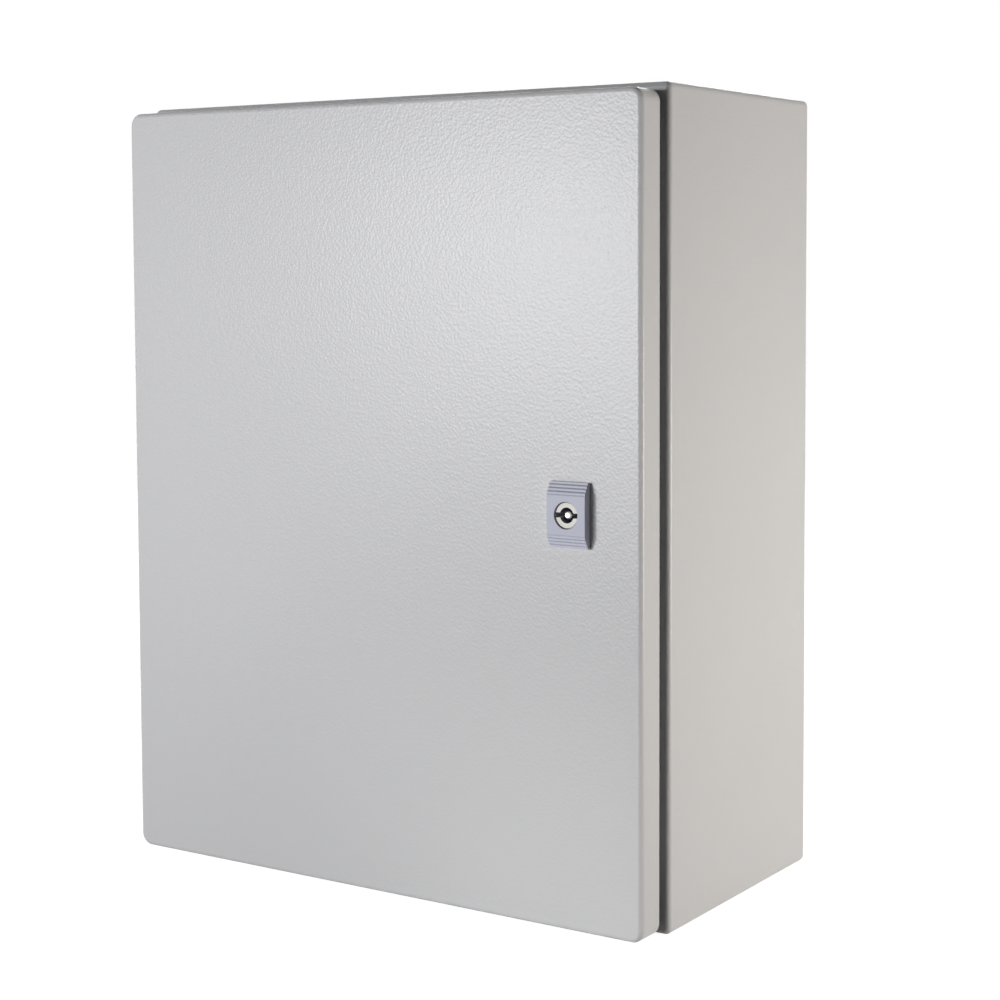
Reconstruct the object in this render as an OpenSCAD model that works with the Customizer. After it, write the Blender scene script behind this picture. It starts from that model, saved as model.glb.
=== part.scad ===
// Wall-mount sheet-steel electrical enclosure with one hinged door and a quarter-turn lock.
// Millimetres. The origin is the middle of the four wall holes on the rear face.
// +X is to the right seen from the front, +Y points into the wall, +Z is up.

/* [Body] */
// Outside width of the body
body_w = 400; // [340:10:600]
// Outside height of the body
body_h = 500; // [440:10:800]
// Depth of the body from its rear face to the front of its rim
body_d = 183; // [150:1:300]
// Thickness of the body's sheet
body_sheet = 1.5; // [1.2:0.1:1.8]
// Outside radius of every sheet bend
bend_r = 3; // [2.6:0.1:3.4]
// Outside radius of the body's four long corners
body_corner_r = 4; // [3.6:0.2:8]

/* [Rim] */
// Distance from the outside wall to the outer face of the upstand
rim_w = 19; // [18.4:0.2:23]
// Height of the upstand in front of the rim
upstand_h = 16; // [15:0.2:17]
// Width of the sealing lip from the upstand's outer face
lip_w = 11; // [10:0.5:12]
// Outside corner radius of the upstand
upstand_corner_r = 15; // [13:0.5:20]

/* [Wall fixing] */
// Distance of the wall holes from the body's outside edges
wall_hole_inset = 20; // [16:0.5:21]
// Diameter of the wall holes
wall_hole_d = 9; // [7:0.5:10]

/* [Door] */
// How far the door stays inside the body's outline
door_reveal = 3; // [2.6:0.1:4]
// How far the door hangs below the middle of the body
door_drop = 1.6; // [0:0.1:1.8]
// Gap between the door's rear edge and the rim
door_gap = 7; // [6.4:0.1:7.4]
// Depth of the folded door
door_d = 20; // [18.6:0.2:22]
// Thickness of the door's sheet
door_sheet = 1.5; // [1.2:0.1:1.6]
// Corner radius of the door
door_corner_r = 8; // [5:0.5:12]
// Width of the foamed seal
seal_w = 12; // [10:0.5:13]
// Gap between the seal and the lip
seal_gap = 0.3; // [0.2:0.05:0.5]

/* [Hinges] */
// Distance of each hinge's middle from the top or bottom of the body
hinge_inset = 85; // [70:5:140]
// Length of a hinge
hinge_l = 50; // [40:1:64]
// Diameter of the hinge pins
pin_d = 4; // [3.4:0.1:4.2]
// Radius of the hinge knuckles
knuckle_r = 3; // [2.8:0.05:3.2]
// Gap between the knuckles and the inside of the door's edge
knuckle_gap = 0.4; // [0.3:0.05:0.6]
// How far the pin's axis lies in front of the door's rear edge
pin_forward = 4; // [3.6:0.1:4.4]
// Thickness of the hinge bracket
bracket_t = 2; // [1.6:0.1:2.4]
// Radial running clearance of the pin in the door's knuckles
pin_run = 0.06; // [0.03:0.01:0.1]

/* [Lock] */
// Distance of the lock's axis from the body's right side
lock_inset = 50.6; // [50.5:0.1:52]
// Height of the lock's axis above the middle of the body
lock_z = -0.5; // [-40:0.5:40]
// Width of the escutcheon
lock_w = 26; // [24.5:0.5:30]
// Height of the escutcheon
lock_h = 38.6; // [36:0.2:44]
// How far the escutcheon's middle stands proud
lock_proud = 5.8; // [5.2:0.1:6.4]
// Thickness of the escutcheon at its ends
lock_end_t = 2.4; // [1.8:0.1:2.8]
// Height of the escutcheon's flat middle
lock_flat_h = 23; // [21:0.5:26]
// Number of steps at each end
lock_steps = 4; // [3:1:5]
// Depth of the first step, next to the flat middle
lock_first_fall = 0.4; // [0.2:0.05:0.6]
// Height of each step's sloping riser
lock_riser_h = 0.8; // [0.5:0.05:1]
// Thickness of the seal under the escutcheon
lock_seal_t = 0.6; // [0.4:0.1:1]
// Diameter of the lock's barrel
barrel_d = 22; // [21.6:0.1:22.4]
// Distance across the barrel's flats
barrel_flats = 20; // [19.6:0.1:20.4]
// Thickness of the lock's nut
lock_nut_t = 4.5; // [3.5:0.1:6]
// Diameter of the driver's face
driver_d = 15.6; // [15.2:0.1:15.8]
// How far the driver's face lies behind the escutcheon's front
driver_recess = 1.2; // [0.8:0.1:1.6]
// Diameter of the driver's socket
socket_d = 9.4; // [9:0.1:10]
// Depth of the driver's socket
socket_depth = 9; // [7:0.2:9.4]
// Diameter of the driver's centre pin
key_pin_d = 4.8; // [4.2:0.1:5.2]
// Width of the driver's key slot
key_slot_w = 3; // [2.4:0.1:3.4]
// Diameter of the driver's journal
journal_d = 12; // [11.6:0.1:12.4]
// Side of the driver's square end
square_w = 8; // [7.6:0.1:8.2]
// Reach of the cam from the lock's axis
cam_reach = 28.5; // [26:0.1:28.6]
// Width of the cam
cam_w = 18; // [16:0.5:19]
// Thickness of the cam
cam_t = 3; // [2.5:0.1:3.5]

/* [Mounting plate] */
// Distance from the body's outside to the edges of the mounting plate
plate_margin = 36; // [35:0.5:40]
// Thickness of the mounting plate
plate_t = 2; // [1.5:0.1:3]
// Distance of the plate's fixings from its edges
plate_stud_inset = 15; // [13:0.5:25]
// Length of the spacers behind the mounting plate
spacer_l = 15; // [10:0.5:25]
// Diameter of the mounting plate's studs
plate_stud_d = 8; // [6:0.5:8]

/* [Gland plate] */
// Width of the cable cut-out
gland_open_w = 250; // [180:5:260]
// Depth of the cable cut-out
gland_open_d = 100; // [70:2:104]
// How far the gland plate laps over each side of the cut-out
gland_lap = 18; // [16:0.5:18]
// Thickness of the gland plate
gland_t = 2; // [1.5:0.1:3]
// Thickness of the gland plate's gasket
gland_gasket_t = 3; // [2.6:0.1:4]
// Diameter of the gland plate's studs
gland_stud_d = 6; // [5:0.5:6]

/* [Earth points] */
// Diameter of the earth studs
earth_d = 6; // [5:0.5:8]
// Length of the earth studs
earth_l = 20; // [18:1:24]

/* [Hidden] */
$fn = 64;
// Radial clearance between a fastener and the piece it passes through
hole_gap = 0.5;
// Radial clearance between a nut and its thread
thread_gap = 0.05;
// Sideways clearance between turning pieces
turn_gap = 0.3;
// Root gap of the seams on both sides of the rim
seam_gap = 0.05;
// Length by which a cutting shape passes each face
over = 1;
bend_in = bend_r - body_sheet;
rim_y = -body_d;
lip_y = rim_y - upstand_h;
upstand_w = body_w - 2 * rim_w;
upstand_hh = body_h - 2 * rim_w;
door_w = body_w - 2 * door_reveal;
door_h = body_h - 2 * door_reveal;
door_rear_y = rim_y - door_gap;
door_front_y = door_rear_y - door_d;
door_in_y = door_front_y + door_sheet;
seal_back_y = lip_y - seal_gap;
seal_mid_w = upstand_w - lip_w;
seal_mid_h = upstand_hh - lip_w;
seal_mid_r = upstand_corner_r - lip_w / 2;
hinge_z = body_h / 2 - hinge_inset;
pin_x = -door_w / 2 + door_sheet + knuckle_gap + knuckle_r;
pin_y = door_rear_y - pin_forward;
pin_r = pin_d / 2;
knuckle_l = (hinge_l - 2 * turn_gap) / 3;
upstand_x = -upstand_w / 2;
bracket_front_y = lip_y + bend_r;
bracket_back_y = rim_y - bend_in - turn_gap;
bracket_screw_y = (pin_y + bracket_back_y) / 2 + 1;
bracket_screw_d = 3;
bracket_screw_z = hinge_l / 2 - 7;
lock_x = body_w / 2 - lock_inset;
house_back_y = door_front_y - lock_seal_t;
house_front_y = house_back_y - lock_proud;
cam_front_y = lip_y + body_sheet + 0.6;
cam_back_y = cam_front_y + cam_t;
barrel_end_y = cam_front_y - turn_gap;
driver_face_y = house_front_y + driver_recess;
socket_floor_y = driver_face_y + socket_depth;
driver_shoulder_y = socket_floor_y + 1.6;
cam_screw_d = 5;
cam_screw_l = 7;
cam_washer_t = 1.2;
plate_w = body_w - 2 * plate_margin;
plate_h = body_h - 2 * plate_margin;
plate_back_y = -body_sheet - spacer_l;
plate_front_y = plate_back_y - plate_t;
plate_washer_t = 1.6;
plate_nut_t = 6.5;
plate_stud_l = spacer_l + plate_t + plate_washer_t + plate_nut_t + 4;
plate_fix = [plate_w / 2 - plate_stud_inset, plate_h / 2 - plate_stud_inset];
floor_z = -body_h / 2 + body_sheet;
gland_y = -body_d / 2;
gland_plate_z = floor_z + gland_gasket_t;
gland_washer_t = 1.2;
gland_nut_t = 5;
gland_stud_l = gland_gasket_t + gland_t + gland_washer_t + gland_nut_t + 3;
gland_fix = [gland_open_w / 2 + gland_lap / 2, gland_open_d / 2 + gland_lap / 2];
earth_washer_t = 1.2;
earth_nut_t = 5;
earth_seat = 4;
body_earth_x = -body_w / 2 + body_sheet;
body_earth_y = -body_d / 3;
body_earth_z = -body_h / 2 + 60;
door_earth_x = upstand_x + lip_w + 14;
door_earth_z = -upstand_hh / 2 + lip_w + 14;

// Colours of the finishes
grey_paint = [0.78, 0.78, 0.77];
dark_rubber = [0.10, 0.10, 0.10];
zinc = [0.72, 0.73, 0.74];
nickel = [0.86, 0.85, 0.82];
grey_cast = [0.69, 0.70, 0.75];

// Rectangle with round corners, centred on the origin
module rounded(w, h, r) {
  square([w - 2 * r, h], center = true);
  square([w, h - 2 * r], center = true);
  for (sx = [-1, 1], sy = [-1, 1])
    translate([sx * (w / 2 - r), sy * (h / 2 - r)])
      circle(r);
}

// A flat shape in the X-Z plane, from its back face at y = back forward by t
module slab(back, t) {
  translate([0, back, 0])
    rotate([90, 0, 0])
      linear_extrude(t)
        children();
}

// A flat shape in the Y-Z plane, extruded along X and centred on it
module bar(w) {
  translate([-w / 2, 0, 0])
    rotate([90, 0, 90])
      linear_extrude(w)
        children();
}

// A profile turned about the Y axis: x is the radius, y the distance in front of y = back
module turned(back) {
  translate([0, back, 0])
    rotate([90, 0, 0])
      rotate_extrude()
        children();
}

// A profile carried round a rounded rectangle in the X-Z plane.
// In the profile, x is the distance outside the outline and y is the depth.
module carried(w, h, r) {
  rotate([-90, 0, 0])
    for (k = [0:3]) {
      half_a = (k % 2 == 0 ? w : h) / 2 - r;
      half_b = (k % 2 == 0 ? h : w) / 2 - r;
      rotate([0, 0, 90 * k]) {
        translate([half_a, half_b, 0])
          rotate_extrude(angle = 90)
            translate([r, 0])
              children();
        translate([half_a + r, half_b, 0])
          rotate([90, 0, 0])
            linear_extrude(2 * half_b)
              children();
      }
    }
}

// Quarter of a sheet bend, in the +x +y quadrant of its centre
module quarter_bend(t) {
  intersection() {
    difference() {
      circle(bend_r);
      circle(bend_r - t);
    }
    square(bend_r);
  }
}

// Hexagon along +Z from z = 0, with the corners of its far face turned off
module hexagon(across, t) {
  corner_r = across / sqrt(3);
  turn_off = (corner_r - across / 2) * 0.8;
  intersection() {
    cylinder(r = corner_r, h = t, $fn = 6);
    rotate_extrude()
      polygon([
        [0, 0], [corner_r + over, 0], [corner_r + over, t - 1.6 * turn_off],
        [corner_r - 1.6 * turn_off, t], [0, t]
      ]);
  }
}

// Hexagon nut along +Z from z = 0
module hex_nut(across, t, bore_r) {
  difference() {
    hexagon(across, t);
    translate([0, 0, -over])
      cylinder(r = bore_r, h = t + 2 * over);
  }
}

// Washer or spacer along +Z from z = 0
module ring(outer_r, bore_r, t) {
  linear_extrude(t)
    difference() {
      circle(outer_r);
      circle(bore_r);
    }
}

// Stud along +Z from z = 0 with a chamfered end
module stud(d, l) {
  chamfer = d / 8;
  rotate_extrude()
    polygon([[0, 0], [d / 2, 0], [d / 2, l - chamfer], [d / 2 - chamfer, l], [0, l]]);
}

// Places its children at the mounting plate's four fixings, with +Z turned to face the door
module at_plate_fixings(y) {
  for (sx = [-1, 1], sz = [-1, 1])
    translate([sx * plate_fix[0], y, sz * plate_fix[1]])
      rotate([90, 0, 0])
        children();
}

// Places its children at the gland plate's six fixings
module at_gland_fixings(z) {
  for (sx = [-1, 0, 1], sy = [-1, 1])
    translate([sx * gland_fix[0], gland_y + sy * gland_fix[1], z])
      children();
}

// Outline of the gland plate and of its gasket, seen from above
module gland_outline() {
  translate([0, gland_y])
    rounded(gland_open_w + 2 * gland_lap, gland_open_d + 2 * gland_lap, gland_lap / 3);
}

// Section of the body's wall with its rear and front bends, from the outside face inward.
// A flat root past the rear bend lies in the rear sheet.
module wall_section() {
  root = (body_corner_r - bend_r) / 2;
  translate([-bend_r - root, -body_sheet])
    square([root, body_sheet]);
  translate([-body_sheet, -body_d + bend_r])
    square([body_sheet, body_d - 2 * bend_r]);
  translate([-bend_r, -bend_r])
    quarter_bend(body_sheet);
  translate([-bend_r, -body_d + bend_r])
    mirror([0, 1])
      quarter_bend(body_sheet);
}

// Section of the upstand and lip, from the upstand's outer face inward
module upstand_section() {
  translate([bend_in, rim_y - bend_in])
    mirror([1, 0])
      quarter_bend(body_sheet);
  translate([-body_sheet, lip_y + bend_r])
    square([body_sheet, upstand_h - bend_r - bend_in]);
  translate([-bend_r, lip_y + bend_r])
    mirror([0, 1])
      quarter_bend(body_sheet);
  translate([-lip_w, lip_y])
    square([lip_w - bend_r, body_sheet]);
}

module body_shell() {
  color(grey_paint)
    difference() {
      union() {
        carried(body_w, body_h, body_corner_r)
          wall_section();
        slab(0, body_sheet)
          rounded(body_w - 2 * bend_r, body_h - 2 * bend_r, body_corner_r - bend_r);
      }
      for (sx = [-1, 1], sz = [-1, 1])
        translate([sx * (body_w / 2 - wall_hole_inset), 0, sz * (body_h / 2 - wall_hole_inset)])
          slab(over, body_sheet + 2 * over)
            circle(wall_hole_d / 2);
      translate([0, gland_y, floor_z - body_sheet - over])
        linear_extrude(body_sheet + 2 * over)
          rounded(gland_open_w, gland_open_d, gland_lap / 3);
    }
}

// Flat rim between the body's front bend and the upstand, seamed to both
module front_rim() {
  outer = bend_r + seam_gap;
  inner = bend_in + seam_gap;
  color(grey_paint)
    slab(rim_y + body_sheet, body_sheet)
      difference() {
        rounded(body_w - 2 * outer, body_h - 2 * outer, body_corner_r - outer);
        rounded(upstand_w + 2 * inner, upstand_hh + 2 * inner, upstand_corner_r + inner);
      }
}

// Upstand and sealing lip round the mouth, seamed to the rim
module front_frame() {
  color(grey_paint)
    difference() {
      carried(upstand_w, upstand_hh, upstand_corner_r)
        upstand_section();
      at_bracket_screws(upstand_x - over)
        cylinder(r = bracket_screw_d / 2 + hole_gap / 2, h = body_sheet + 2 * over);
    }
}

module mounting_plate() {
  color(zinc)
    slab(plate_back_y, plate_t)
      difference() {
        rounded(plate_w, plate_h, 6);
        for (sx = [-1, 1], sz = [-1, 1])
          translate([sx * plate_fix[0], sz * plate_fix[1]])
            circle(plate_stud_d / 2 + hole_gap);
      }
}

module plate_studs() {
  color(zinc)
    at_plate_fixings(-body_sheet)
      stud(plate_stud_d, plate_stud_l);
}

module plate_spacers() {
  color(zinc)
    at_plate_fixings(-body_sheet)
      ring(plate_stud_d / 2 + 3, plate_stud_d / 2 + hole_gap / 2, spacer_l);
}

module plate_washers() {
  color(zinc)
    at_plate_fixings(plate_front_y)
      ring(plate_stud_d, plate_stud_d / 2 + hole_gap / 2, plate_washer_t);
}

module plate_nuts() {
  color(zinc)
    at_plate_fixings(plate_front_y - plate_washer_t)
      hex_nut(plate_stud_d * 1.625, plate_nut_t, plate_stud_d / 2 + thread_gap);
}

module gland_plate() {
  color(grey_paint)
    difference() {
      translate([0, 0, gland_plate_z])
        linear_extrude(gland_t)
          gland_outline();
      at_gland_fixings(gland_plate_z - over)
        cylinder(r = gland_stud_d / 2 + hole_gap, h = gland_t + 2 * over);
    }
}

module gland_gasket() {
  color(dark_rubber)
    difference() {
      translate([0, 0, floor_z])
        linear_extrude(gland_gasket_t)
          difference() {
            gland_outline();
            translate([0, gland_y])
              rounded(gland_open_w, gland_open_d, gland_lap / 3);
          }
      at_gland_fixings(floor_z - over)
        cylinder(r = gland_stud_d / 2 + hole_gap, h = gland_gasket_t + 2 * over);
    }
}

module gland_studs() {
  color(zinc)
    at_gland_fixings(floor_z)
      stud(gland_stud_d, gland_stud_l);
}

module gland_washers() {
  color(zinc)
    at_gland_fixings(gland_plate_z + gland_t)
      ring(gland_stud_d, gland_stud_d / 2 + hole_gap / 2, gland_washer_t);
}

module gland_nuts() {
  color(zinc)
    at_gland_fixings(gland_plate_z + gland_t + gland_washer_t)
      hex_nut(gland_stud_d * 1.667, gland_nut_t, gland_stud_d / 2 + thread_gap);
}

// Hinge bracket on the upstand, with its middle at z = mid
module hinge_base(mid) {
  color(zinc)
    difference() {
      union() {
        translate([upstand_x - bracket_t, bracket_front_y, mid - hinge_l / 2])
          cube([bracket_t, bracket_back_y - bracket_front_y, hinge_l]);
        for (end = [-1, 1])
          translate([pin_x, 0, mid + end * (hinge_l - knuckle_l) / 2 - knuckle_l / 2]) {
            translate([0, pin_y, 0])
              cylinder(r = knuckle_r, h = knuckle_l);
            translate([0, bracket_front_y, 0])
              cube([upstand_x - bracket_t / 2 - pin_x, pin_y - bracket_front_y, knuckle_l]);
          }
      }
      translate([pin_x, pin_y, mid - hinge_l / 2 - over])
        cylinder(r = pin_r + pin_run / 2, h = hinge_l + 2 * over);
      for (end = [-1, 1])
        translate([upstand_x - bracket_t - over, bracket_screw_y, mid + end * bracket_screw_z])
          rotate([0, 90, 0])
            cylinder(r = bracket_screw_d / 2 + hole_gap / 2, h = bracket_t + 2 * over);
    }
}

module upper_hinge_base() {
  hinge_base(hinge_z);
}

module lower_hinge_base() {
  hinge_base(-hinge_z);
}

// Places its children at the bracket screws, with +Z turned to +X
module at_bracket_screws(x) {
  for (sz = [-1, 1], end = [-1, 1])
    translate([x, bracket_screw_y, sz * hinge_z + end * bracket_screw_z])
      rotate([0, 90, 0])
        children();
}

module hinge_base_screws() {
  head_r = bracket_screw_d * 0.85;
  head_t = 0.9;
  tail_l = bracket_t + body_sheet + 3.2;
  color(zinc)
    at_bracket_screws(upstand_x - bracket_t)
      rotate_extrude()
        polygon([
          [0, -head_t], [head_r - 0.5, -head_t], [head_r, -head_t + 0.4], [head_r, 0],
          [bracket_screw_d / 2, 0], [bracket_screw_d / 2, tail_l], [0, tail_l]
        ]);
}

module hinge_base_nuts() {
  color(zinc)
    at_bracket_screws(upstand_x + body_sheet)
      hex_nut(bracket_screw_d * 1.833, 2.4, bracket_screw_d / 2 + thread_gap);
}

// Headed hinge pin with its middle at z = mid
module hinge_pin(mid) {
  head_t = 1.6;
  color(nickel)
    translate([pin_x, pin_y, mid - hinge_l / 2])
      rotate_extrude()
        polygon([
          [0, -0.8], [pin_r - 0.5, -0.8], [pin_r, -0.3], [pin_r, hinge_l],
          [knuckle_r - 0.2, hinge_l], [knuckle_r - 0.2, hinge_l + head_t - 0.5],
          [knuckle_r - 0.7, hinge_l + head_t], [0, hinge_l + head_t]
        ]);
}

module upper_hinge_pin() {
  hinge_pin(hinge_z);
}

module lower_hinge_pin() {
  hinge_pin(-hinge_z);
}

module body_earth_stud() {
  color(zinc)
    translate([body_earth_x, body_earth_y, body_earth_z])
      rotate([0, 90, 0]) {
        cylinder(r = earth_d / 2 + 2, h = earth_seat);
        stud(earth_d, earth_l);
      }
}

module body_earth_washer() {
  color(zinc)
    translate([body_earth_x + earth_seat, body_earth_y, body_earth_z])
      rotate([0, 90, 0])
        ring(earth_d, earth_d / 2 + hole_gap / 2, earth_washer_t);
}

module body_earth_nut() {
  color(zinc)
    translate([body_earth_x + earth_seat + earth_washer_t, body_earth_y, body_earth_z])
      rotate([0, 90, 0])
        hex_nut(earth_d * 1.667, earth_nut_t, earth_d / 2 + thread_gap);
}

// Section of the door's front bend and edge, from the outside face inward
module door_section() {
  translate([-bend_r, door_front_y + bend_r])
    mirror([0, 1])
      quarter_bend(door_sheet);
  translate([-door_sheet, door_front_y + bend_r])
    square([door_sheet, door_d - bend_r]);
}

// Section of the lock's barrel with two flats, larger all round by gap
module barrel_section(gap) {
  intersection() {
    circle(barrel_d / 2 + gap);
    square([barrel_flats + 2 * gap, barrel_d + 4 * gap], center = true);
  }
}

module door_panel() {
  color(grey_paint)
    difference() {
      translate([0, 0, -door_drop]) {
        carried(door_w, door_h, door_corner_r)
          door_section();
        slab(door_in_y, door_sheet)
          rounded(door_w - 2 * bend_r, door_h - 2 * bend_r, door_corner_r - bend_r);
      }
      translate([lock_x, 0, lock_z])
        slab(door_in_y + over, door_sheet + 2 * over)
          barrel_section(hole_gap / 2);
    }
}

module door_gasket() {
  color(dark_rubber)
    slab(seal_back_y, seal_back_y - door_in_y)
      difference() {
        rounded(seal_mid_w + seal_w, seal_mid_h + seal_w, seal_mid_r + seal_w / 2);
        rounded(seal_mid_w - seal_w, seal_mid_h - seal_w, seal_mid_r - seal_w / 2);
      }
}

// Hinge leaf on the inside of the door, with its middle at z = mid.
// Its foot and web start where the door's inside face turns flat.
module hinge_leaf(mid) {
  foot_t = 2;
  foot_reach = 3;
  flat_x = -door_w / 2 + bend_r;
  web_t = 2 * (pin_x - flat_x);
  leaf_l = hinge_l - 2 * (knuckle_l + turn_gap);
  color(zinc)
    translate([0, 0, mid - leaf_l / 2])
      difference() {
        union() {
          translate([pin_x, pin_y, 0])
            cylinder(r = knuckle_r, h = leaf_l);
          translate([flat_x, door_in_y, 0])
            cube([web_t, pin_y - door_in_y, leaf_l]);
          translate([flat_x, door_in_y, 0])
            cube([web_t + foot_reach, foot_t, leaf_l]);
        }
        translate([pin_x, pin_y, -over])
          cylinder(r = pin_r + pin_run, h = leaf_l + 2 * over);
      }
}

module upper_hinge_leaf() {
  hinge_leaf(hinge_z);
}

module lower_hinge_leaf() {
  hinge_leaf(-hinge_z);
}

// Side outline of the escutcheon: x is the depth, y the height from the lock's axis.
// Its ends fall back in steps with sloping risers, the first step shallower than the rest.
module escutcheon_outline() {
  pitch = (lock_h - lock_flat_h) / 2 / lock_steps;
  fall = (lock_proud - lock_end_t - lock_first_fall) / (lock_steps - 1);
  tread_y = [for (i = [0:lock_steps]) house_front_y + (i == 0 ? 0 : lock_first_fall + (i - 1) * fall)];
  upper = [
    for (i = [0:lock_steps - 1])
      each [
        [tread_y[i], lock_flat_h / 2 + i * pitch],
        [tread_y[i + 1], lock_flat_h / 2 + i * pitch + lock_riser_h]
      ],
    [tread_y[lock_steps], lock_h / 2],
    [house_back_y, lock_h / 2]
  ];
  lower = [for (i = [len(upper) - 1:-1:0]) [upper[i][0], -upper[i][1]]];
  polygon(concat(upper, lower));
}

// Escutcheon and barrel in one casting: the barrel is rooted in the escutcheon's back
module lock_housing() {
  barrel_l = barrel_end_y - house_back_y + lock_end_t / 2;
  color(grey_cast)
    translate([lock_x, 0, lock_z])
      difference() {
        union() {
          bar(lock_w)
            escutcheon_outline();
          slab(barrel_end_y, barrel_l)
            barrel_section(0);
        }
        slab(driver_shoulder_y + turn_gap, driver_shoulder_y + turn_gap - house_front_y + over)
          circle(driver_d / 2 + turn_gap);
        slab(barrel_end_y + over, barrel_end_y + over - driver_shoulder_y)
          circle(journal_d / 2 + pin_run);
      }
}

module lock_seal() {
  color(dark_rubber)
    translate([lock_x, 0, lock_z])
      slab(door_front_y, lock_seal_t)
        difference() {
          square([lock_w - 1, lock_h - 1], center = true);
          barrel_section(hole_gap);
        }
}

module lock_nut() {
  color(zinc)
    translate([lock_x, door_in_y, lock_z])
      rotate([-90, 0, 0])
        hex_nut(barrel_d + 5, lock_nut_t, barrel_d / 2 + thread_gap);
}

module door_earth_stud() {
  color(zinc)
    translate([door_earth_x, door_in_y, door_earth_z])
      rotate([-90, 0, 0]) {
        cylinder(r = earth_d / 2 + 2, h = earth_seat);
        stud(earth_d, earth_l);
      }
}

module door_earth_washer() {
  color(zinc)
    translate([door_earth_x, door_in_y + earth_seat, door_earth_z])
      rotate([-90, 0, 0])
        ring(earth_d, earth_d / 2 + hole_gap / 2, earth_washer_t);
}

module door_earth_nut() {
  color(zinc)
    translate([door_earth_x, door_in_y + earth_seat + earth_washer_t, door_earth_z])
      rotate([-90, 0, 0])
        hex_nut(earth_d * 1.667, earth_nut_t, earth_d / 2 + thread_gap);
}

module lock_driver() {
  edge = 0.4;
  head_l = driver_shoulder_y - driver_face_y;
  journal_l = cam_front_y - turn_gap / 2 - driver_shoulder_y;
  color(nickel)
    translate([lock_x, 0, lock_z])
      difference() {
        union() {
          difference() {
            turned(driver_shoulder_y)
              polygon([
                [0, 0], [driver_d / 2, 0], [driver_d / 2, head_l - edge],
                [driver_d / 2 - edge, head_l], [0, head_l]
              ]);
            slab(socket_floor_y, socket_depth + over)
              circle(socket_d / 2);
            slab(socket_floor_y, socket_depth + over)
              square([driver_d + 2 * over, key_slot_w], center = true);
          }
          turned(socket_floor_y)
            polygon([
              [0, -0.5], [key_pin_d / 2, -0.5], [key_pin_d / 2, socket_depth - 1.6],
              [key_pin_d / 2 - 0.9, socket_depth - 0.8], [0, socket_depth - 0.8]
            ]);
          slab(driver_shoulder_y + journal_l, journal_l)
            circle(journal_d / 2);
          slab(cam_back_y, cam_back_y - driver_shoulder_y - journal_l)
            square(square_w, center = true);
        }
        slab(cam_back_y + over, cam_screw_l + 2 * over)
          circle(cam_screw_d / 2 + thread_gap);
      }
}

module lock_cam() {
  color(zinc)
    translate([lock_x, 0, lock_z])
      slab(cam_back_y, cam_t)
        difference() {
          union() {
            circle(cam_w / 2);
            intersection() {
              translate([-cam_w / 2, -cam_reach])
                square([cam_w, cam_reach]);
              circle(cam_reach);
            }
          }
          square(square_w + 2 * thread_gap, center = true);
        }
}

module cam_washer() {
  color(zinc)
    translate([lock_x, cam_back_y, lock_z])
      rotate([-90, 0, 0])
        ring(square_w * 0.75, cam_screw_d / 2 + hole_gap / 2, cam_washer_t);
}

module cam_screw() {
  color(zinc)
    translate([lock_x, cam_back_y + cam_washer_t, lock_z])
      rotate([-90, 0, 0]) {
        hexagon(cam_screw_d * 1.6, 3.5);
        translate([0, 0, -cam_washer_t - cam_screw_l])
          cylinder(r = cam_screw_d / 2, h = cam_washer_t + cam_screw_l + over);
      }
}

body_shell();
front_rim();
front_frame();
mounting_plate();
plate_studs();
plate_spacers();
plate_washers();
plate_nuts();
gland_plate();
gland_gasket();
gland_studs();
gland_washers();
gland_nuts();
upper_hinge_base();
lower_hinge_base();
hinge_base_screws();
hinge_base_nuts();
upper_hinge_pin();
lower_hinge_pin();
body_earth_stud();
body_earth_washer();
body_earth_nut();
door_panel();
door_gasket();
upper_hinge_leaf();
lower_hinge_leaf();
lock_housing();
lock_seal();
lock_nut();
door_earth_stud();
door_earth_washer();
door_earth_nut();
lock_driver();
lock_cam();
cam_washer();
cam_screw();
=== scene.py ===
"""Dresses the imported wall-mount enclosure with paint, metal and rubber, and lights it as in a studio."""

import math

import bpy
from mathutils import Matrix, Vector


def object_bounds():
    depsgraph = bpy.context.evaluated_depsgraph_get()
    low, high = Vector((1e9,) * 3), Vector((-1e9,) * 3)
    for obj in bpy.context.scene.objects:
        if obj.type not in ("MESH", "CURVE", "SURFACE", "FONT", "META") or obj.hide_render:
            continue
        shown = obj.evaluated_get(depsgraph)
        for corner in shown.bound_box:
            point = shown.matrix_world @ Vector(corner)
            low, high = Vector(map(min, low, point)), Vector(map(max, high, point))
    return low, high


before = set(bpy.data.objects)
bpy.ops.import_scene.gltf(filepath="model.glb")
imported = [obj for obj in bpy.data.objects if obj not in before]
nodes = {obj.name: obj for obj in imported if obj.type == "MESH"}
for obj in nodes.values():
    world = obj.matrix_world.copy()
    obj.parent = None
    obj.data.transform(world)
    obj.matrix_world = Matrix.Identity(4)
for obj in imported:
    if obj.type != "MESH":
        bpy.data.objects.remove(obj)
cad_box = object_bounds()

# Camera of the photograph: pixels, metres and degrees
IMAGE_PX = 1000
FOCAL_PX = 2057.7
PRINCIPAL_PX = (540, 400)
CAMERA_POS = (0.7813, -1.2214, 0.1468)
CAMERA_AZIMUTH = 32.865
CAMERA_ELEVATION = 3.852
CAMERA_ROLL = -0.179
SENSOR_MM = 36

# Linear colours of the finishes
DOOR_GREY = (0.575, 0.575, 0.575)
CAST_FACE = (0.505, 0.52, 0.61)
# painted shade for the lock housing's faces that look up
CAST_UPWARD_SHADE = (0.35, 0.345, 0.40)
FOAM_BLACK = (0.018, 0.018, 0.017)
ZINC_LIGHT = (0.50, 0.50, 0.49)
ZINC_DARK = (0.40, 0.405, 0.41)
CRYSTAL_DARK = (0.368, 0.3726, 0.3772)
NICKEL_LIGHT = (0.54, 0.53, 0.505)
NICKEL_DARK = (0.47, 0.46, 0.435)
# painted shade inside the lock's recessed socket
SOCKET_SHADE = (0.13, 0.15, 0.18)
WHITE = (1.0, 1.0, 1.0)

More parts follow.
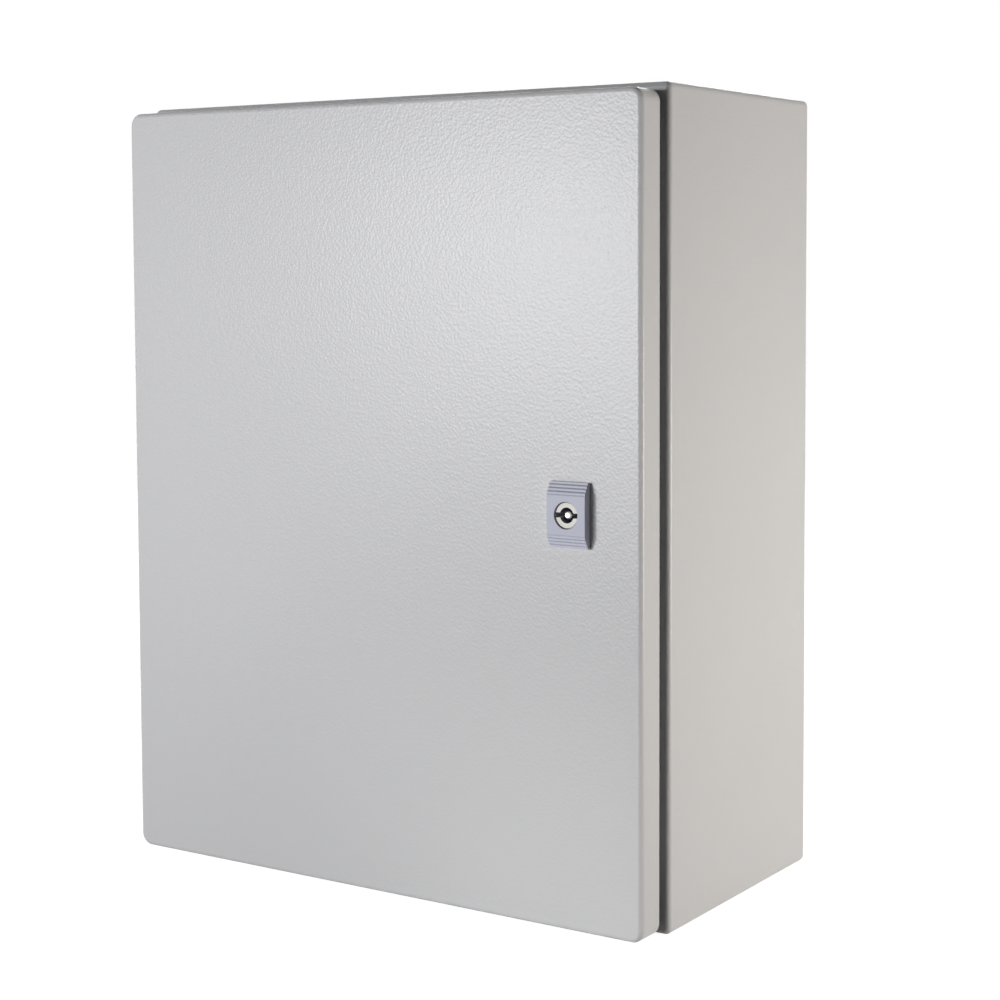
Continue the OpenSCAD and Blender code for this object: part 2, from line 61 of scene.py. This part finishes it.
# Width of each finish's detail, in metres
PEBBLE = 0.0016
PAINT_GRAIN = 0.0008
PAINT_CLOUD = 0.12
FOAM_CELL = 0.0012
FOAM_CLOUD = 0.02
ZINC_STAIN = 0.006
ZINC_GRAIN = 0.0008
CRYSTAL = 0.011
CRYSTAL_GRAIN = 0.0015
NICKEL_WEAR = 0.003
TURNING_MARK = 0.0005
CAST_GRAIN = 0.0007
CAST_CLOUD = 0.01

# Depth of each finish's relief, in metres
PAINT_RELIEF = 0.00012
FOAM_RELIEF = 0.0003
ZINC_RELIEF = 0.0002
THREAD_RELIEF = 0.0005
CRYSTAL_RELIEF = 0.00008
NICKEL_RELIEF = 0.00002
TURNING_RELIEF = 0.000004
CAST_RELIEF = 0.00004

# Share of the fine grain in the relief
PAINT_GRAIN_SHARE = 0.12
ZINC_GRAIN_SHARE = 0.15

# Lowest and highest roughness of the finishes
PAINT_ROUGH = (0.3, 0.38)
FOAM_ROUGH = (0.75, 0.95)
ZINC_ROUGH = (0.42, 0.55)
CRYSTAL_ROUGH = (0.6, 0.74)
NICKEL_ROUGH = (0.16, 0.3)
CAST_ROUGH = (0.38, 0.5)

# Roughness of the lock's face and of its centre pin, and how much wear adds
LOCK_FACE_ROUGH = 0.74
LOCK_PIN_ROUGH = 0.3
LOCK_WEAR_ROUGH = 0.1

# Thread pitches, in metres
FINE_PITCH = 0.0007
MEDIUM_PITCH = 0.001
COARSE_PITCH = 0.00125

# Length of one wave of the Wave texture at scale 1
WAVE_LENGTH = math.pi / 10

# Lock: its axis, the plane just behind the driver's face, and the radii of its centre pin and socket
LOCK_AXIS = (0.1494, -0.0005)
SOCKET_PLANE = -0.2149
PIN_RADIUS = 0.0024
SOCKET_RADIUS = 0.0048

# Lock housing: how far a face looks up where the painted shade starts and where it is full
UPWARD_SHADE_SLOPE = (0.3, 0.9)

# Lamps: name, place, aimed at, width, height, beam in degrees, watts, colour
LAMPS = [
    ("key", (-0.08, -0.90, -0.02), (0.05, -0.2, 0.0), 0.15, 0.15, 180, 1.1, WHITE),
    ("sheen_left", (-0.90, -1.50, 0.06), (0.0, -0.2, 0.05), 0.4, 0.4, 180, 1.2, (1.0, 0.97, 0.98)),
    ("sheen_right", (-0.68, -1.60, 0.20), (0.0, -0.2, 0.10), 0.3, 0.35, 180, 13.0, (0.955, 0.96, 0.99)),
    ("side", (1.00, 0.10, -0.06), (0.2, -0.1, -0.02), 0.3, 0.3, 180, 5.9, (1.0, 0.948, 0.898)),
    ("low", (0.10, -0.80, -0.17), (0.19, -0.21, -0.27), 0.2, 0.1, 45, 0.06, WHITE),
    ("rear", (-0.90, 1.80, 0.60), (0.0, -0.1, 0.0), 1.0, 1.0, 180, 20.0, WHITE),
]
WORLD_LIGHT = 0.02

# Floor: half its side, its colour, its glow near the object, and where the glow rises to white
FLOOR_HALF = 6.0
FLOOR_GREY = (0.45, 0.45, 0.45)
FLOOR_GLOW = 0.94
FLOOR_FADE = (0.5, 1.6)


class Graph:
    """A material's or world's node tree, with short ways to add and join nodes."""

    def __init__(self, tree):
        self.tree = tree
        tree.nodes.clear()

    def add(self, kind, settings=None, **inputs):
        """Adds a node. Inputs go by name, with _ for a space, or by number as i0, i1 and so on."""
        made = self.tree.nodes.new(kind)
        for key, value in (settings or {}).items():
            setattr(made, key, value)
        for key, value in inputs.items():
            numbered = key[0] == "i" and key[1:].isdigit()
            self.put(made.inputs[int(key[1:]) if numbered else key.replace("_", " ")], value)
        return made

    def put(self, socket, value):
        if isinstance(value, bpy.types.NodeSocket):
            self.tree.links.new(value, socket)
        else:
            socket.default_value = value

    def coords(self):
        return self.add("ShaderNodeTexCoord").outputs["Object"]

    def noise(self, coords, size, detail=2.0):
        return self.add("ShaderNodeTexNoise", Vector=coords, Scale=1.0 / size, Detail=detail).outputs["Fac"]

    def ranged(self, value, low, high):
        return self.add("ShaderNodeMapRange", Value=value, To_Min=low, To_Max=high).outputs["Result"]

    def blended(self, factor, first, second):
        """Colour from first to second. The first may be a socket."""
        made = self.add("ShaderNodeMix", {"data_type": "RGBA"}, Factor=factor, i7=(*second, 1.0))
        self.put(made.inputs[6], first if isinstance(first, bpy.types.NodeSocket) else (*first, 1.0))
        return made.outputs[2]

    def mottled(self, coords, size, colour, low, high):
        """A colour that varies between two shares of itself."""
        return self.blended(self.noise(coords, size), shaded(colour, low), shaded(colour, high))

    def math(self, operation, a, b):
        return self.add("ShaderNodeMath", {"operation": operation}, i0=a, i1=b).outputs[0]

    def bump(self, height, depth):
        return self.add("ShaderNodeBump", Height=height, Distance=depth, Strength=1.0).outputs["Normal"]

    def output(self, shader, kind="ShaderNodeOutputMaterial"):
        out = self.add(kind)
        self.tree.links.new(shader.outputs[0], out.inputs["Surface"])

    def surface(self, **inputs):
        self.output(self.add("ShaderNodeBsdfPrincipled", **inputs))


def graph_material(name):
    material = bpy.data.materials.new(name)
    material.use_nodes = True
    return material, Graph(material.node_tree)


def shaded(colour, factor):
    return tuple(c * factor for c in colour)


def powder_coat(name, colour):
    """Textured powder coat: shallow rounded pebbles of uneven size, with a fine grain over them."""
    material, g = graph_material(name)
    coords = g.coords()
    pebble = g.noise(coords, PEBBLE, detail=0.0)
    grain = g.noise(coords, PAINT_GRAIN)
    height = g.math("ADD", pebble, g.math("MULTIPLY", grain, PAINT_GRAIN_SHARE))
    g.surface(
        Base_Color=g.mottled(coords, PAINT_CLOUD, colour, low=0.98, high=1.02),
        Roughness=g.ranged(grain, *PAINT_ROUGH),
        Specular_IOR_Level=0.4,
        Normal=g.bump(height, PAINT_RELIEF),
    )
    return material


def foam(name, colour):
    """Foamed or cut rubber with a fine open grain."""
    material, g = graph_material(name)
    coords = g.coords()
    cells = g.noise(coords, FOAM_CELL, detail=3.0)
    g.surface(
        Base_Color=g.mottled(coords, FOAM_CLOUD, colour, low=0.8, high=1.4),
        Roughness=g.ranged(cells, *FOAM_ROUGH),
        Normal=g.bump(cells, FOAM_RELIEF),
    )
    return material


def zinc(name, thread_axis=None, pitch=COARSE_PITCH):
    """Bright zinc plating, with the turns of a thread along one axis where there is one."""
    material, g = graph_material(name)
    coords = g.coords()
    stain = g.noise(coords, ZINC_STAIN, detail=3.0)
    height = g.math("MULTIPLY", g.noise(coords, ZINC_GRAIN), ZINC_GRAIN_SHARE)
    depth = ZINC_RELIEF
    if thread_axis:
        turns = g.add(
            "ShaderNodeTexWave", {"bands_direction": thread_axis}, Vector=coords, Scale=WAVE_LENGTH / pitch
        ).outputs["Fac"]
        height = g.math("ADD", height, turns)
        depth = THREAD_RELIEF
    g.surface(
        Base_Color=g.blended(stain, ZINC_DARK, ZINC_LIGHT),
        Metallic=1.0,
        Roughness=g.ranged(stain, *ZINC_ROUGH),
        Normal=g.bump(height, depth),
    )
    return material


def galvanised(name):
    """Galvanised sheet with flat crystals of different brightness."""
    material, g = graph_material(name)
    coords = g.coords()
    crystals = g.add("ShaderNodeTexVoronoi", Vector=coords, Scale=1.0 / CRYSTAL).outputs["Color"]
    facet = g.add("ShaderNodeSeparateColor", Color=crystals).outputs["Red"]
    g.surface(
        Base_Color=g.blended(facet, CRYSTAL_DARK, ZINC_LIGHT),
        Metallic=1.0,
        Roughness=g.ranged(facet, *CRYSTAL_ROUGH),
        Normal=g.bump(g.noise(coords, CRYSTAL_GRAIN, detail=3.0), CRYSTAL_RELIEF),
    )
    return material


def nickel(name):
    """Satin nickel with faint wear."""
    material, g = graph_material(name)
    wear = g.noise(g.coords(), NICKEL_WEAR, detail=3.0)
    g.surface(
        Base_Color=g.blended(wear, NICKEL_DARK, NICKEL_LIGHT),
        Metallic=1.0,
        Roughness=g.ranged(wear, *NICKEL_ROUGH),
        Normal=g.bump(wear, NICKEL_RELIEF),
    )
    return material


def lock_nickel(name):
    """Matt nickel face with turning marks, and shade painted into the recessed socket round the bright centre
    pin.
    """
    material, g = graph_material(name)
    coords = g.coords()
    centre = (LOCK_AXIS[0], SOCKET_PLANE, LOCK_AXIS[1])
    local = g.add("ShaderNodeVectorMath", {"operation": "SUBTRACT"}, i0=coords, i1=centre).outputs[0]
    depth = g.add("ShaderNodeSeparateXYZ", Vector=local).outputs["Y"]
    flat = g.add("ShaderNodeVectorMath", {"operation": "MULTIPLY"}, i0=local, i1=(1.0, 0.0, 1.0)).outputs[0]
    radius = g.add("ShaderNodeVectorMath", {"operation": "LENGTH"}, i0=flat).outputs["Value"]
    marks = g.add(
        "ShaderNodeTexWave", {"wave_type": "RINGS", "rings_direction": "Y"}, Vector=local,
        Scale=WAVE_LENGTH / TURNING_MARK, Distortion=0.4,
    ).outputs["Fac"]
    wear = g.noise(coords, NICKEL_WEAR, detail=3.0)
    on_pin = g.math("LESS_THAN", radius, PIN_RADIUS)
    beside_pin = g.math("SUBTRACT", 1.0, on_pin)
    in_socket = g.math("MULTIPLY", beside_pin, g.math("LESS_THAN", radius, SOCKET_RADIUS))
    # painted shade: the recessed socket round the centre pin is darkened
    socket_shade = g.math("MULTIPLY", g.math("GREATER_THAN", depth, 0.0), in_socket)
    rough = g.ranged(on_pin, LOCK_FACE_ROUGH, LOCK_PIN_ROUGH)
    g.surface(
        Base_Color=g.blended(socket_shade, g.blended(wear, NICKEL_DARK, NICKEL_LIGHT), SOCKET_SHADE),
        Metallic=1.0,
        Roughness=g.math("ADD", rough, g.math("MULTIPLY", wear, LOCK_WEAR_ROUGH)),
        Normal=g.bump(marks, TURNING_RELIEF),
    )
    return material


def cast_housing(name):
    """Smooth satin paint on the die-cast lock housing, with shade painted on the faces that look up."""
    material, g = graph_material(name)
    coords = g.coords()
    facing = g.add("ShaderNodeTexCoord").outputs["Normal"]
    upward = g.add("ShaderNodeSeparateXYZ", Vector=facing).outputs["Z"]
    # painted shade: faces of the lock housing that look up are darkened
    upward_shade = g.add(
        "ShaderNodeMapRange", Value=upward, From_Min=UPWARD_SHADE_SLOPE[0], From_Max=UPWARD_SHADE_SLOPE[1]
    ).outputs["Result"]
    grain = g.noise(coords, CAST_GRAIN, detail=3.0)
    face = g.mottled(coords, CAST_CLOUD, CAST_FACE, low=0.97, high=1.03)
    g.surface(
        Base_Color=g.blended(upward_shade, face, CAST_UPWARD_SHADE),
        Roughness=g.ranged(grain, *CAST_ROUGH),
        Specular_IOR_Level=0.3,
        Normal=g.bump(grain, CAST_RELIEF),
    )
    return material


def paint(material, *names):
    for name in names:
        slots = nodes[name].data.materials
        slots.clear()
        slots.append(material)


def aim(obj, target):
    obj.rotation_euler = (Vector(target) - obj.location).to_track_quat("-Z", "Y").to_euler()


def make_camera():
    azimuth, elevation, roll = map(math.radians, (CAMERA_AZIMUTH, CAMERA_ELEVATION, CAMERA_ROLL))
    back = Vector((
        math.sin(azimuth) * math.cos(elevation), -math.cos(azimuth) * math.cos(elevation), math.sin(elevation)
    ))
    level = Vector((math.cos(azimuth), math.sin(azimuth), 0.0))
    upright = back.cross(level)
    right = level * math.cos(roll) + upright * math.sin(roll)
    up = back.cross(right)
    data = bpy.data.cameras.new("camera")
    data.sensor_width = SENSOR_MM
    data.lens = FOCAL_PX * SENSOR_MM / IMAGE_PX
    data.shift_x = 0.5 - PRINCIPAL_PX[0] / IMAGE_PX
    data.shift_y = PRINCIPAL_PX[1] / IMAGE_PX - 0.5
    camera = bpy.data.objects.new("camera", data)
    camera.matrix_world = Matrix.Translation(CAMERA_POS) @ Matrix((right, up, back)).transposed().to_4x4()
    bpy.context.collection.objects.link(camera)
    bpy.context.scene.camera = camera


def make_lamps():
    for name, place, target, width, height, beam, watts, colour in LAMPS:
        data = bpy.data.lights.new(name, "AREA")
        data.shape = "RECTANGLE"
        data.size = width
        data.size_y = height
        data.spread = math.radians(beam)
        data.energy = watts
        data.color = colour
        lamp = bpy.data.objects.new(name, data)
        lamp.location = place
        aim(lamp, target)
        bpy.context.collection.objects.link(lamp)


def seen_directly(g):
    """1 for what the camera sees directly, in a mirror or through glass."""
    path = g.add("ShaderNodeLightPath").outputs
    seen = g.math("MAXIMUM", path["Is Camera Ray"], path["Is Glossy Ray"])
    return g.math("MAXIMUM", seen, path["Is Transmission Ray"])


def make_world():
    world = bpy.data.worlds.new("studio")
    world.use_nodes = True
    bpy.context.scene.world = world
    g = Graph(world.node_tree)
    strength = g.math("MAXIMUM", seen_directly(g), WORLD_LIGHT)
    backdrop = g.add("ShaderNodeBackground", Color=(*WHITE, 1.0), Strength=strength)
    g.output(backdrop, "ShaderNodeOutputWorld")


def make_floor():
    level = cad_box[0].z
    corners = [
        (x * FLOOR_HALF, y * FLOOR_HALF, level) for x, y in ((-1, -1), (1, -1), (1, 1), (-1, 1))
    ]
    mesh = bpy.data.meshes.new("floor")
    mesh.from_pydata(corners, [], [(0, 1, 2, 3)])
    floor = bpy.data.objects.new("floor", mesh)
    bpy.context.collection.objects.link(floor)
    material, g = graph_material("floor_white")
    matt = g.add("ShaderNodeBsdfDiffuse", Color=(*FLOOR_GREY, 1.0))
    distance = g.add("ShaderNodeVectorMath", {"operation": "LENGTH"}, i0=g.coords()).outputs["Value"]
    fade = g.add(
        "ShaderNodeMapRange", {"interpolation_type": "SMOOTHSTEP"}, Value=distance, From_Min=FLOOR_FADE[0],
        From_Max=FLOOR_FADE[1], To_Min=FLOOR_GLOW, To_Max=1.0,
    ).outputs["Result"]
    glow = g.add("ShaderNodeEmission", Strength=g.math("MULTIPLY", seen_directly(g), fade))
    g.output(g.add("ShaderNodeAddShader", i0=matt.outputs[0], i1=glow.outputs[0]))
    mesh.materials.append(material)


# Finishes
paint(
    powder_coat("paint_grey", DOOR_GREY),
    "body_shell", "front_rim", "front_frame", "door_panel", "gland_plate",
)
paint(cast_housing("lock_grey"), "lock_housing")
paint(foam("foam_black", FOAM_BLACK), "door_gasket", "gland_gasket", "lock_seal")
paint(galvanised("galvanised"), "mounting_plate")
paint(lock_nickel("nickel_lock"), "lock_driver")
paint(nickel("nickel"), "upper_hinge_pin", "lower_hinge_pin")
paint(
    zinc("zinc"), "plate_spacers", "plate_washers", "plate_nuts", "gland_washers", "gland_nuts",
    "upper_hinge_base", "lower_hinge_base", "hinge_base_nuts", "body_earth_washer", "body_earth_nut",
    "upper_hinge_leaf", "lower_hinge_leaf", "lock_nut", "door_earth_washer", "door_earth_nut",
    "lock_cam", "cam_washer", "cam_screw",
)
paint(zinc("zinc_thread_x", "X", FINE_PITCH), "hinge_base_screws")
paint(zinc("zinc_thread_x_coarse", "X", MEDIUM_PITCH), "body_earth_stud")
paint(zinc("zinc_thread_y", "Y"), "plate_studs", "door_earth_stud")
paint(zinc("zinc_thread_z", "Z", MEDIUM_PITCH), "gland_studs")

make_camera()
make_lamps()
make_world()
make_floor()
bpy.context.scene.view_settings.view_transform = "Standard"
